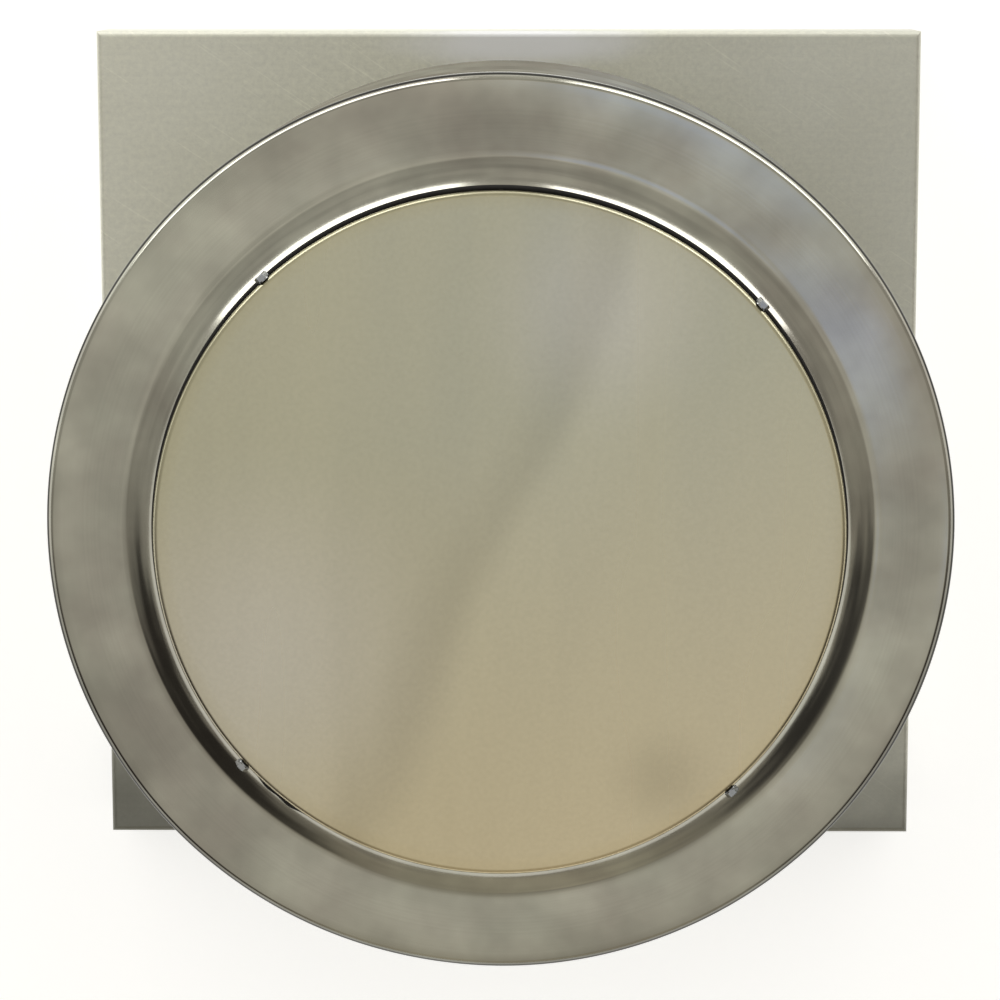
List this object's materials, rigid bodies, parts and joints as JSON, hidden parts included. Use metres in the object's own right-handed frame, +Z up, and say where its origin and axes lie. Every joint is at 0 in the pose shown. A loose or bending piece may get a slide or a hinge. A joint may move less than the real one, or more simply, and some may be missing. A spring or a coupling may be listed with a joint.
{
  "type": "roof vent",
  "caption": "Static louvred roof vent of mill-finish aluminium: spun louvre rings under a flat lid, on a round throat collar and a square curb cap.",
  "frame": {"origin": "centre of the curb cap's square skirt rim, at the rim's height", "axes": "+Z up along the throat's axis, +X and +Y along the curb cap's sides"},
  "size_m": [0.483, 0.483, 0.3757],
  "materials": {
    "mill_sheet": "mill-finish rolled sheet, satin",
    "spun_sheet": "spun sheet, satin with fine turning lines",
    "lid_sheet": "rolled sheet, satin",
    "bar": "rolled flat bar, satin",
    "wire_cloth": "drawn wire, dull",
    "zinc_screw": "zinc-plated, semi-bright"
  },
  "bodies": {
    "root": {"curb_cap": "mill_sheet", "collar": "mill_sheet", "bird_screen": "wire_cloth", "collar_screws": "zinc_screw", "post_screws": "zinc_screw", "louver_screws": "zinc_screw", "top_louver": "spun_sheet", "top_lid": "lid_sheet", "lid_screws": "zinc_screw", "post_1": "bar", "louver_1": "spun_sheet", "post_2": "bar", "louver_2": "spun_sheet", "post_3": "bar", "louver_3": "spun_sheet", "post_4": "bar", "louver_4": "spun_sheet"}
  },
  "joints": []
}
